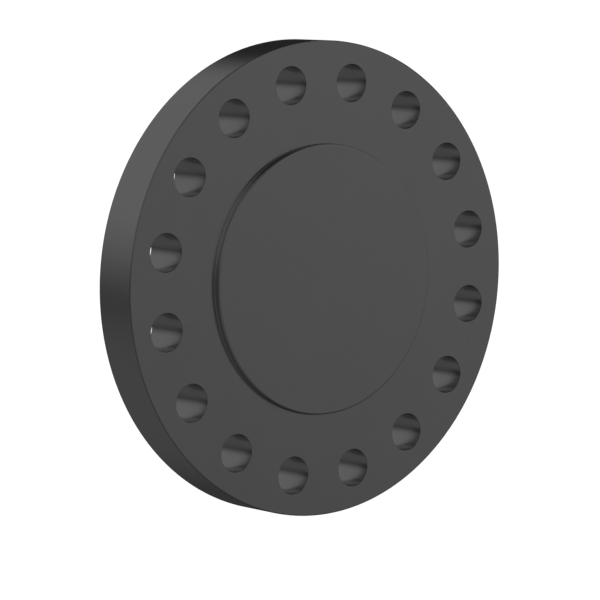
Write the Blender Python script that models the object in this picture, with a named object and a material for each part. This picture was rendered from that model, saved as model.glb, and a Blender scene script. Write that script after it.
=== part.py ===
"""Blind flange: one forged and machined steel disc that closes the end of a bolted pipeline.

Run with: blender --background --python part.py

Frame: metres, +Z up, the flange standing upright as it is bolted on. The origin is the
centre of the raised gasket face. The flange's axis is Y, and the gasket face looks along -Y.
"""

import math

import bmesh
import bpy
from mathutils import Matrix

# Driving dimensions, in metres
OUTSIDE_DIAMETER = 0.585
RIM_THICKNESS = 0.0615
RAISED_FACE_DIAMETER = 0.333
RAISED_FACE_HEIGHT = 0.0075
ROOT_FILLET_RADIUS = 0.0010
FACE_EDGE_RADIUS = 0.0020
RIM_CHAMFER = 0.0010
BOLT_CIRCLE_DIAMETER = 0.487
BOLT_HOLE_DIAMETER = 0.0465
BOLT_HOLE_CHAMFER = 0.0006
BOLT_HOLE_COUNT = 16

# Facets around the round shapes
DISC_FACETS = 128
HOLE_FACETS = 40
FILLET_STEPS = 4
EDGE_STEPS = 3

MERGE_DISTANCE = 0.00001
SMOOTH_BELOW = math.radians(35)

# Planes across the axis, worked out from the driving dimensions
GASKET_FACE_Y = 0.0
FRONT_FACE_Y = GASKET_FACE_Y + RAISED_FACE_HEIGHT
BACK_FACE_Y = FRONT_FACE_Y + RIM_THICKNESS


def clear_scene():
    for old in list(bpy.data.objects):
        bpy.data.objects.remove(old, do_unlink=True)


def steel_material():
    """Dark grey forged steel under a thin black varnish."""
    material = bpy.data.materials.new("dark_steel")
    material.use_nodes = True
    shader = material.node_tree.nodes["Principled BSDF"]
    shader.inputs["Base Color"].default_value = (0.078, 0.078, 0.079, 1.0)
    shader.inputs["Metallic"].default_value = 0.85
    shader.inputs["Roughness"].default_value = 0.38
    return material


def arc(centre_radius, centre_y, radius, start_deg, end_deg, steps):
    """Points (radius from the axis, y) along an arc in the turned outline."""
    points = []
    for step in range(steps + 1):
        angle = math.radians(start_deg + (end_deg - start_deg) * step / steps)
        points.append((centre_radius + radius * math.cos(angle), centre_y + radius * math.sin(angle)))
    return points


def disc_outline():
    """Half section of the disc, from the gasket face's centre round to the back face's centre."""
    face_radius = RAISED_FACE_DIAMETER / 2
    rim_radius = OUTSIDE_DIAMETER / 2
    outline = [(0.0, GASKET_FACE_Y)]
    outline += arc(face_radius - FACE_EDGE_RADIUS, GASKET_FACE_Y + FACE_EDGE_RADIUS,
                   FACE_EDGE_RADIUS, -90, 0, EDGE_STEPS)
    outline += arc(face_radius + ROOT_FILLET_RADIUS, FRONT_FACE_Y - ROOT_FILLET_RADIUS,
                   ROOT_FILLET_RADIUS, 180, 90, FILLET_STEPS)
    outline += [
        (rim_radius - RIM_CHAMFER, FRONT_FACE_Y),
        (rim_radius, FRONT_FACE_Y + RIM_CHAMFER),
        (rim_radius, BACK_FACE_Y - RIM_CHAMFER),
        (rim_radius - RIM_CHAMFER, BACK_FACE_Y),
        (0.0, BACK_FACE_Y),
    ]
    return outline


def hole_outline():
    """Half section of one bolt hole's cutter: a cylinder that widens through both faces."""
    hole_radius = BOLT_HOLE_DIAMETER / 2
    overrun = 2 * BOLT_HOLE_CHAMFER
    return [
        (0.0, FRONT_FACE_Y - overrun),
        (hole_radius + BOLT_HOLE_CHAMFER + overrun, FRONT_FACE_Y - overrun),
        (hole_radius, FRONT_FACE_Y + BOLT_HOLE_CHAMFER),
        (hole_radius, BACK_FACE_Y - BOLT_HOLE_CHAMFER),
        (hole_radius + BOLT_HOLE_CHAMFER + overrun, BACK_FACE_Y + overrun),
        (0.0, BACK_FACE_Y + overrun),
    ]


def turn(mesh, outline, facets):
    """Add to the mesh the closed solid that the outline sweeps about the Y axis."""
    points = [mesh.verts.new((radius, y, 0.0)) for radius, y in outline]
    edges = [mesh.edges.new(pair) for pair in zip(points, points[1:])]
    bmesh.ops.spin(mesh, geom=points + edges, cent=(0, 0, 0), axis=(0, 1, 0),
                   angle=math.tau, steps=facets, use_merge=True)
    bmesh.ops.remove_doubles(mesh, verts=mesh.verts, dist=MERGE_DISTANCE)
    bmesh.ops.recalc_face_normals(mesh, faces=mesh.faces)


def new_object(name, mesh):
    """Turn a bmesh into a named, smooth-shaded object in the scene."""
    data = bpy.data.meshes.new(name)
    mesh.to_mesh(data)
    mesh.free()
    data.shade_smooth()
    data.set_sharp_from_angle(angle=SMOOTH_BELOW)
    made = bpy.data.objects.new(name, data)
    bpy.context.scene.collection.objects.link(made)
    return made


def make_disc():
    mesh = bmesh.new()
    turn(mesh, disc_outline(), DISC_FACETS)
    return new_object("flange_disc", mesh)


def make_hole_cutter():
    """All the bolt holes as one cutter. They straddle the vertical centreline."""
    cutters = bmesh.new()
    pitch = math.tau / BOLT_HOLE_COUNT
    for index in range(BOLT_HOLE_COUNT):
        single = bmesh.new()
        turn(single, hole_outline(), HOLE_FACETS)
        bmesh.ops.translate(single, verts=single.verts, vec=(BOLT_CIRCLE_DIAMETER / 2, 0, 0))
        angle = (index + 0.5) * pitch
        bmesh.ops.transform(single, verts=single.verts, matrix=Matrix.Rotation(angle, 4, "Y"))
        placed = bpy.data.meshes.new("bolt_hole")
        single.to_mesh(placed)
        single.free()
        cutters.from_mesh(placed)
        bpy.data.meshes.remove(placed)
    cutter = new_object("bolt_hole_cutter", cutters)
    cutter.display_type = "WIRE"
    cutter.hide_render = True
    return cutter


def build():
    clear_scene()
    disc = make_disc()
    disc.data.materials.append(steel_material())
    drilling = disc.modifiers.new("bolt_holes", "BOOLEAN")
    drilling.operation = "DIFFERENCE"
    drilling.solver = "EXACT"
    drilling.object = make_hole_cutter()


build()
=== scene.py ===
"""Looks of the blind flange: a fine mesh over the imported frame, bare turned steel, and a dim soft studio.

Frame: metres, +Z up. The flange's axis is Y and its gasket face looks along -Y.
"""

import math

import bmesh
import bpy
from mathutils import Matrix, Quaternion, Vector


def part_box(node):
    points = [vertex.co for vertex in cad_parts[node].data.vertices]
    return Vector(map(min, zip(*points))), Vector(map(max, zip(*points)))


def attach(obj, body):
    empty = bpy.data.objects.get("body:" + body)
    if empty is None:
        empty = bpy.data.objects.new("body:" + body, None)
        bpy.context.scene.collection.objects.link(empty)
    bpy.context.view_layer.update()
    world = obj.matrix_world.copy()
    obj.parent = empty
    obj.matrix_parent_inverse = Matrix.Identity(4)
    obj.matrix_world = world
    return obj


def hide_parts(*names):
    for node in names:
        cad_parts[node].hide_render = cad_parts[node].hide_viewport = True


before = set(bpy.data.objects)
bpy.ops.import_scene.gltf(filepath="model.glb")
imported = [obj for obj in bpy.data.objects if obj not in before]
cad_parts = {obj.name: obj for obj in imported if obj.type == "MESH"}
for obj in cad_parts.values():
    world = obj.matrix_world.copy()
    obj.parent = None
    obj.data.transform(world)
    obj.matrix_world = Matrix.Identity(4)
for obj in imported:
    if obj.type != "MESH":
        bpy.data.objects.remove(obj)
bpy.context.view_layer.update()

# The disc's overall size comes from the frame; the rest are the part's own dimensions, in metres
node_low, node_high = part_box("flange_disc")
OUTSIDE_RADIUS = (node_high[0] - node_low[0]) / 2
GASKET_FACE_Y = node_low[1]
BACK_FACE_Y = node_high[1]
RAISED_FACE_RADIUS = 0.1665
RAISED_FACE_HEIGHT = 0.0075
FRONT_FACE_Y = GASKET_FACE_Y + RAISED_FACE_HEIGHT
BOLT_CIRCLE_RADIUS = 0.2435
BOLT_HOLE_RADIUS = 0.02325
BOLT_HOLE_COUNT = 16

# Edge rounds and the fillet at the foot of the raised face
ROOT_FILLET = 0.0010
FACE_EDGE_ROUND = 0.0020
RIM_EDGE_ROUND = 0.0011
HOLE_EDGE_ROUND = 0.0006

DISC_FACETS = 256
HOLE_FACETS = 72
ARC_STEPS = 6
CUTTER_OVERRUN = 0.004
MERGE_DISTANCE = 0.00001


def arc(centre_radius, centre_y, radius, start_deg, end_deg):
    """Points (radius from the axis, y) along an arc of the turned outline."""
    points = []
    for step in range(ARC_STEPS + 1):
        angle = math.radians(start_deg + (end_deg - start_deg) * step / ARC_STEPS)
        points.append((centre_radius + radius * math.cos(angle), centre_y + radius * math.sin(angle)))
    return points


def disc_outline():
    """Half section of the disc, from the gasket face's centre to the back face's centre."""
    outline = [(0.0, GASKET_FACE_Y)]
    outline += arc(RAISED_FACE_RADIUS - FACE_EDGE_ROUND, GASKET_FACE_Y + FACE_EDGE_ROUND,
                   FACE_EDGE_ROUND, -90, 0)
    outline += arc(RAISED_FACE_RADIUS + ROOT_FILLET, FRONT_FACE_Y - ROOT_FILLET, ROOT_FILLET, 180, 90)
    outline += arc(OUTSIDE_RADIUS - RIM_EDGE_ROUND, FRONT_FACE_Y + RIM_EDGE_ROUND, RIM_EDGE_ROUND, -90, 0)
    outline += arc(OUTSIDE_RADIUS - RIM_EDGE_ROUND, BACK_FACE_Y - RIM_EDGE_ROUND, RIM_EDGE_ROUND, 0, 90)
    outline.append((0.0, BACK_FACE_Y))
    return outline


def hole_outline():
    """Half section of one bolt hole, with rounded mouths that open through both faces."""
    flare = BOLT_HOLE_RADIUS + HOLE_EDGE_ROUND
    front_end, back_end = FRONT_FACE_Y - CUTTER_OVERRUN, BACK_FACE_Y + CUTTER_OVERRUN
    outline = [(0.0, front_end), (flare, front_end)]
    outline += arc(flare, FRONT_FACE_Y + HOLE_EDGE_ROUND, HOLE_EDGE_ROUND, 270, 180)
    outline += arc(flare, BACK_FACE_Y - HOLE_EDGE_ROUND, HOLE_EDGE_ROUND, 180, 90)
    outline += [(flare, back_end), (0.0, back_end)]
    return outline


def turn(mesh, outline, facets):
    """Add the closed solid that the outline sweeps about the Y axis."""
    points = [mesh.verts.new((radius, y, 0.0)) for radius, y in outline]
    edges = [mesh.edges.new(pair) for pair in zip(points, points[1:])]
    bmesh.ops.spin(mesh, geom=points + edges, cent=(0, 0, 0), axis=(0, 1, 0),
                   angle=math.tau, steps=facets, use_merge=True)
    bmesh.ops.remove_doubles(mesh, verts=mesh.verts, dist=MERGE_DISTANCE)
    bmesh.ops.recalc_face_normals(mesh, faces=mesh.faces)


def mesh_object(name, mesh):
    data = bpy.data.meshes.new(name)
    mesh.to_mesh(data)
    mesh.free()
    made = bpy.data.objects.new(name, data)
    bpy.context.scene.collection.objects.link(made)
    return made


def hole_cutter():
    """All the bolt holes as one cutter, straddling the vertical centreline."""
    cutters = bmesh.new()
    for index in range(BOLT_HOLE_COUNT):
        single = bmesh.new()
        turn(single, hole_outline(), HOLE_FACETS)
        bmesh.ops.translate(single, verts=single.verts, vec=(BOLT_CIRCLE_RADIUS, 0, 0))
        angle = (index + 0.5) * math.tau / BOLT_HOLE_COUNT
        bmesh.ops.transform(single, verts=single.verts, matrix=Matrix.Rotation(angle, 4, "Y"))
        placed = bpy.data.meshes.new("bolt_hole")
        single.to_mesh(placed)
        single.free()
        cutters.from_mesh(placed)
        bpy.data.meshes.remove(placed)
    return mesh_object("bolt_hole_cutter", cutters)


def apply_modifiers(obj):
    """Bake an object's modifiers into its mesh."""
    graph = bpy.context.evaluated_depsgraph_get()
    finished = bpy.data.meshes.new_from_object(obj.evaluated_get(graph), depsgraph=graph)
    obj.modifiers.clear()
    obj.data = finished


def make_disc():
    mesh = bmesh.new()
    turn(mesh, disc_outline(), DISC_FACETS)
    disc = mesh_object("blind_flange", mesh)
    cutter = hole_cutter()
    drilling = disc.modifiers.new("bolt_holes", "BOOLEAN")
    drilling.operation = "DIFFERENCE"
    drilling.solver = "EXACT"
    drilling.object = cutter
    apply_modifiers(disc)
    bpy.data.objects.remove(cutter, do_unlink=True)
    disc.data.shade_smooth()
    weighted = disc.modifiers.new("flat_faces_stay_flat", "WEIGHTED_NORMAL")
    weighted.mode = "FACE_AREA"
    weighted.weight = 100
    return disc


class Shading:
    """Short calls for building a node tree: every call adds one node and returns its output."""

    def __init__(self, tree):
        self.nodes, self.links = tree.nodes, tree.links

    def feed(self, socket, value):
        """Join a socket to another node's output, or give it a fixed value."""
        if isinstance(value, bpy.types.NodeSocket):
            self.links.new(value, socket)
        else:
            socket.default_value = value

    def maths(self, operation, first, second=0.0):
        node = self.nodes.new("ShaderNodeMath")
        node.operation = operation
        self.feed(node.inputs[0], first)
        self.feed(node.inputs[1], second)
        return node.outputs["Value"]

    def vector(self, operation, first, second, output="Vector"):
        node = self.nodes.new("ShaderNodeVectorMath")
        node.operation = operation
        self.feed(node.inputs[0], first)
        self.feed(node.inputs[1], second)
        return node.outputs[output]

    def step(self, value, low, high, to_low=0.0, to_high=1.0):
        """Carry low..high over to to_low..to_high along a smooth curve."""
        node = self.nodes.new("ShaderNodeMapRange")
        node.interpolation_type = "SMOOTHSTEP"
        for name, given in (("Value", value), ("From Min", low), ("From Max", high),
                            ("To Min", to_low), ("To Max", to_high)):
            self.feed(node.inputs[name], given)
        return node.outputs["Result"]

    def mix(self, factor, first, second):
        node = self.nodes.new("ShaderNodeMix")
        self.feed(node.inputs["Factor"], factor)
        self.feed(node.inputs["A"], first)
        self.feed(node.inputs["B"], second)
        return node.outputs["Result"]

    def noise(self, where, scale, detail, roughness=0.5):
        """Noise about 0.5, along a line where the place is one number and through space otherwise."""
        node = self.nodes.new("ShaderNodeTexNoise")
        along_line = where.type == "VALUE"
        node.noise_dimensions = "1D" if along_line else "3D"
        self.feed(node.inputs["W" if along_line else "Vector"], where)
        node.inputs["Scale"].default_value = scale
        node.inputs["Detail"].default_value = detail
        node.inputs["Roughness"].default_value = roughness
        return node.outputs["Fac"]

    def separate(self, vector):
        node = self.nodes.new("ShaderNodeSeparateXYZ")
        self.links.new(vector, node.inputs["Vector"])
        return node.outputs


# The steel: its reflectance seen square on, its tint towards a grazing angle, and its roughness
REFLECTANCE = (0.54, 0.54, 0.54)
GRAZING_TINT = (0.9, 0.9, 0.9, 1.0)
ROUGHNESS = 0.22

# The marks on it: how many to the metre, how far they move the tone and roughness either way
FINE_RINGS, BROAD_RINGS, RING_TONE, RING_ROUGHNESS = 900.0, 130.0, 0.025, 0.02
CLOUDS, BLOTCHES, FILM_TONE, FILM_ROUGHNESS = 9.0, 60.0, 0.035, 0.025
GRAIN = 2600.0
SCRATCH_LENGTHS, SCRATCH_ROUGHNESS = (9.0, 9.0, 500.0), 0.02
TURNING_DEPTH = 0.0000035

# The painted shade along each edge, a dark line put into the steel's colour: how wide, how dark, how much
# smoother, and fainter on small edges
RIM_EDGE_REACH = 0.0024
SMALL_EDGE_REACH = 0.0013
SMALL_EDGE_SHARE = 0.34
PAINTED_EDGE_SHADE = 0.28
EDGE_SMOOTHING = 0.04

# Noise lies close to its middle value, so this much of its range is spread over a mark's range
NOISE_LOW, NOISE_HIGH = 0.2, 0.8


def ring(shade, radius, depth, edge_radius, edge_depth, reach):
    """1 along a round edge at that radius and depth, fading to 0 within reach of it."""
    off_radius = shade.maths("ABSOLUTE", shade.maths("SUBTRACT", radius, edge_radius))
    off_depth = shade.maths("ABSOLUTE", shade.maths("SUBTRACT", depth, edge_depth))
    return shade.step(shade.maths("MAXIMUM", off_radius, off_depth), 0.0, reach, 1.0, 0.0)


def distance_from_bolt_hole(shade, radius, place):
    """How far a point is from the axis of the nearest bolt hole."""
    x, _, z = shade.separate(place)
    half_pitch = math.pi / BOLT_HOLE_COUNT
    off_centre = shade.maths("PINGPONG", shade.maths("ARCTAN2", z, x), half_pitch)
    angle = shade.maths("SUBTRACT", half_pitch, off_centre)
    across = shade.maths("MULTIPLY", radius, shade.maths("SINE", angle))
    along = shade.maths("SUBTRACT", shade.maths("MULTIPLY", radius, shade.maths("COSINE", angle)),
                        BOLT_CIRCLE_RADIUS)
    return shade.maths("SQRT", shade.maths("ADD", shade.maths("POWER", across, 2.0),
                                           shade.maths("POWER", shade.maths("ABSOLUTE", along), 2.0)))


def edge_shade_and_smoothing_mask(shade, place, radius, depth):
    """Where the edges get painted shade and less roughness: 1 along the rim's edges, less along the raised
    face's and the bolt holes', and 0 elsewhere.
    """
    off_hole = distance_from_bolt_hole(shade, radius, place)
    rim_edge = shade.maths("MAXIMUM",
                           ring(shade, radius, depth, OUTSIDE_RADIUS, FRONT_FACE_Y, RIM_EDGE_REACH),
                           ring(shade, radius, depth, OUTSIDE_RADIUS, BACK_FACE_Y, RIM_EDGE_REACH))
    face_edge = ring(shade, radius, depth, RAISED_FACE_RADIUS, GASKET_FACE_Y, SMALL_EDGE_REACH)
    hole_edge = shade.maths("MAXIMUM",
                            ring(shade, off_hole, depth, BOLT_HOLE_RADIUS, FRONT_FACE_Y, SMALL_EDGE_REACH),
                            ring(shade, off_hole, depth, BOLT_HOLE_RADIUS, BACK_FACE_Y, SMALL_EDGE_REACH))
    small_edge = shade.maths("MAXIMUM", face_edge, hole_edge)
    return shade.maths("MAXIMUM", rim_edge, shade.maths("MULTIPLY", small_edge, SMALL_EDGE_SHARE))


def turning_rings(shade, radius, depth):
    """Rings left by the tool, which fed across the flat faces and along the rim and the holes."""
    facing = shade.separate(shade.nodes.new("ShaderNodeNewGeometry").outputs["Normal"])["Y"]
    flatness = shade.step(shade.maths("ABSOLUTE", facing), 0.6, 0.8)
    feed = shade.mix(flatness, depth, radius)
    return shade.mix(0.35, shade.noise(feed, FINE_RINGS, 3.0, 0.6), shade.noise(feed, BROAD_RINGS, 2.0))


def spread(shade, mark, middle, swing):
    """Turn a mark made of noise into a value that lies within swing of the middle."""
    return shade.step(mark, NOISE_LOW, NOISE_HIGH, middle - swing, middle + swing)


def steel_material():
    """Turned steel: tool rings, a faint cloudy film of oil, fine scratches, and painted shade in dark lines
    along the edges.
    """
    material = bpy.data.materials.new("dark_steel")
    material.use_nodes = True
    shade = Shading(material.node_tree)
    nodes = shade.nodes
    place = nodes.new("ShaderNodeTexCoord").outputs["Object"]
    depth = shade.separate(place)["Y"]
    across = shade.vector("MULTIPLY", place, (1.0, 0.0, 1.0))
    radius = shade.vector("LENGTH", across, (0.0, 0.0, 0.0), "Value")

    rings = turning_rings(shade, radius, depth)
    film = shade.mix(0.35, shade.noise(place, CLOUDS, 4.0, 0.55), shade.noise(place, BLOTCHES, 3.0, 0.6))
    grain = shade.noise(place, GRAIN, 2.0)
    streaks = shade.noise(shade.vector("MULTIPLY", place, SCRATCH_LENGTHS), 1.0, 2.0, 0.7)
    scratches = shade.step(streaks, 0.62, 0.70)
    # edges marks where the painted edge shade goes and where the steel is a little smoother
    edges = edge_shade_and_smoothing_mask(shade, place, radius, depth)

    tone = spread(shade, film, 1.0, FILM_TONE)
    tone = shade.maths("MULTIPLY", tone, spread(shade, rings, 1.0, RING_TONE))
    # Painted shade: the steel's colour is darkened in a line along its edges
    painted_shade = shade.maths("MULTIPLY", edges, PAINTED_EDGE_SHADE)
    tone = shade.maths("MULTIPLY", tone, shade.maths("SUBTRACT", 1.0, painted_shade))
    colour = shade.vector("SCALE", REFLECTANCE, (0.0, 0.0, 0.0))
    shade.feed(colour.node.inputs["Scale"], tone)

    rough = spread(shade, film, ROUGHNESS, FILM_ROUGHNESS)
    rough = shade.maths("ADD", rough, spread(shade, rings, 0.0, RING_ROUGHNESS))
    rough = shade.maths("ADD", rough, shade.maths("MULTIPLY", scratches, SCRATCH_ROUGHNESS))
    rough = shade.maths("SUBTRACT", rough, shade.maths("MULTIPLY", edges, EDGE_SMOOTHING))

    bump = nodes.new("ShaderNodeBump")
    bump.inputs["Distance"].default_value = TURNING_DEPTH
    shade.feed(bump.inputs["Height"], shade.mix(0.25, rings, grain))

    shader = nodes["Principled BSDF"]
    shader.inputs["Metallic"].default_value = 1.0
    shader.inputs["Specular Tint"].default_value = GRAZING_TINT
    shade.feed(shader.inputs["Base Color"], colour)
    shade.feed(shader.inputs["Roughness"], rough)
    shade.feed(shader.inputs["Normal"], bump.outputs["Normal"])
    return material


# The studio as the steel sees it. Each panel is a strength and the edges that bound it: a direction,
# how far from it the panel reaches, and how soft that edge is, in degrees. The last four hardly show in
# the main view: they light the back, the front from the upper right, the front square on, and the side
ROOM_LIGHT = 0.198
AMBIENT = 0.105
PANELS = [
    (1.01, [((-1.0, 0.35, 0.20), 90, 8), ((0.0, 0.035, 1.0), 90, 21), ((0.0, 1.0, 0.0), 95, 30)]),
    (1.01, [((-1.0, 0.0, -0.05), 90, 6), ((0.0, 0.035, 1.0), 90, 16), ((0.0, -1.0, 0.0), 75, 25)]),
    (0.915, [((0.519, 0.076, 0.848), 90, 25), ((0.35, 0.0, -1.0), 97, 14),
             ((0.966, 0.259, 0.0), 90, 10), ((0.0, -0.87, 0.50), 78, 12)]),
    (1.08, [((0.85, 0.10, -0.56), 90, 8), ((0.0, -1.0, 0.0), 75, 25), ((0.0, 0.0, 1.0), 79, 12)]),
    (0.50, [((-0.334, 0.77, -0.534), 30, 30), ((0.0, 0.0, -1.0), 90, 27)]),
    (0.49, [((-0.60, -0.65, -0.45), 50, 30), ((0.0, 0.0, -1.0), 110, 35)]),
    (0.25, [((0.25, 0.1, -0.9), 70, 20)]),
    (0.55, [((0.84, 0.53, -0.15), 19, 6), ((0.0, 0.0, -1.0), 90, 8)]),
    (0.60, [((-0.75, -0.50, -0.45), 15, 6)]),
    (0.45, [((0.0, -1.0, 0.0), 22, 10)]),
    (0.32, [((1.0, 0.0, 0.0), 30, 10)]),
]


def soft_edge(shade, direction, axis, reach, softness):
    """1 within reach of the axis and 0 beyond it, with a soft step between."""
    towards = shade.vector("DOT_PRODUCT", direction, Vector(axis).normalized(), "Value")
    outer, inner = math.radians(reach + softness), math.radians(reach - softness)
    return shade.step(towards, math.cos(outer), math.cos(inner))


def make_world():
    """White to the camera; to the surfaces, a dim room with a few large soft panels."""
    world = bpy.data.worlds.new("studio")
    bpy.context.scene.world = world
    world.use_nodes = True
    nodes, links = world.node_tree.nodes, world.node_tree.links
    nodes.clear()
    shade = Shading(world.node_tree)
    direction = nodes.new("ShaderNodeTexCoord").outputs["Generated"]
    total = AMBIENT
    for strength, edges in PANELS:
        panel = strength
        for axis, reach, softness in edges:
            panel = shade.maths("MULTIPLY", panel, soft_edge(shade, direction, axis, reach, softness))
        total = shade.maths("MAXIMUM", total, panel)
    room = nodes.new("ShaderNodeBackground")
    shade.feed(room.inputs["Color"], total)
    room.inputs["Strength"].default_value = ROOM_LIGHT
    backdrop = nodes.new("ShaderNodeBackground")
    backdrop.inputs["Color"].default_value = (1, 1, 1, 1)
    choose = nodes.new("ShaderNodeMixShader")
    shade.feed(choose.inputs["Fac"], nodes.new("ShaderNodeLightPath").outputs["Is Camera Ray"])
    links.new(room.outputs["Background"], choose.inputs[1])
    links.new(backdrop.outputs["Background"], choose.inputs[2])
    output = nodes.new("ShaderNodeOutputWorld")
    links.new(choose.outputs["Shader"], output.inputs["Surface"])


FLOOR_RADIUS = 60 * OUTSIDE_RADIUS
FLOOR_GAP = 0.0005


def make_floor():
    """A pale floor just under the disc, which is left out of the steel's reflections."""
    mesh = bmesh.new()
    bmesh.ops.create_circle(mesh, cap_ends=True, segments=96, radius=FLOOR_RADIUS)
    floor = mesh_object("studio_floor", mesh)
    floor.location = (0, 0, node_low[2] - FLOOR_GAP)
    material = bpy.data.materials.new("pale_floor")
    material.use_nodes = True
    shader = material.node_tree.nodes["Principled BSDF"]
    shader.inputs["Base Color"].default_value = (0.8, 0.8, 0.8, 1)
    shader.inputs["Roughness"].default_value = 0.9
    shader.inputs["Emission Color"].default_value = (1, 1, 1, 1)
    shader.inputs["Emission Strength"].default_value = 1.0
    floor.data.materials.append(material)
    floor.visible_glossy = False
    floor.visible_diffuse = False


# The viewpoint and the point it aims at, in outside radii from the middle of the bolting face
EYE = Vector((-9.1296, -11.1453, 1.4788))
AIM = Vector((-0.1219, 0.0, -0.0789))
ROLL = math.radians(-0.3)
LENS = 207.15
SENSOR_WIDTH = 36


def make_camera():
    data = bpy.data.cameras.new("camera")
    data.lens = LENS
    data.sensor_width = SENSOR_WIDTH
    camera = bpy.data.objects.new("camera", data)
    bpy.context.scene.collection.objects.link(camera)
    camera.location = Vector((0, FRONT_FACE_Y, 0)) + EYE * OUTSIDE_RADIUS
    camera.rotation_mode = "QUATERNION"
    camera.rotation_quaternion = (AIM - EYE).to_track_quat("-Z", "Y") @ Quaternion((0, 0, 1), ROLL)
    bpy.context.scene.camera = camera


def main():
    make_camera()
    make_world()
    make_floor()
    disc = make_disc()
    disc.data.materials.clear()
    disc.data.materials.append(steel_material())
    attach(disc, "root")
    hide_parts("flange_disc")
    bpy.context.scene.view_settings.view_transform = "Standard"


main()
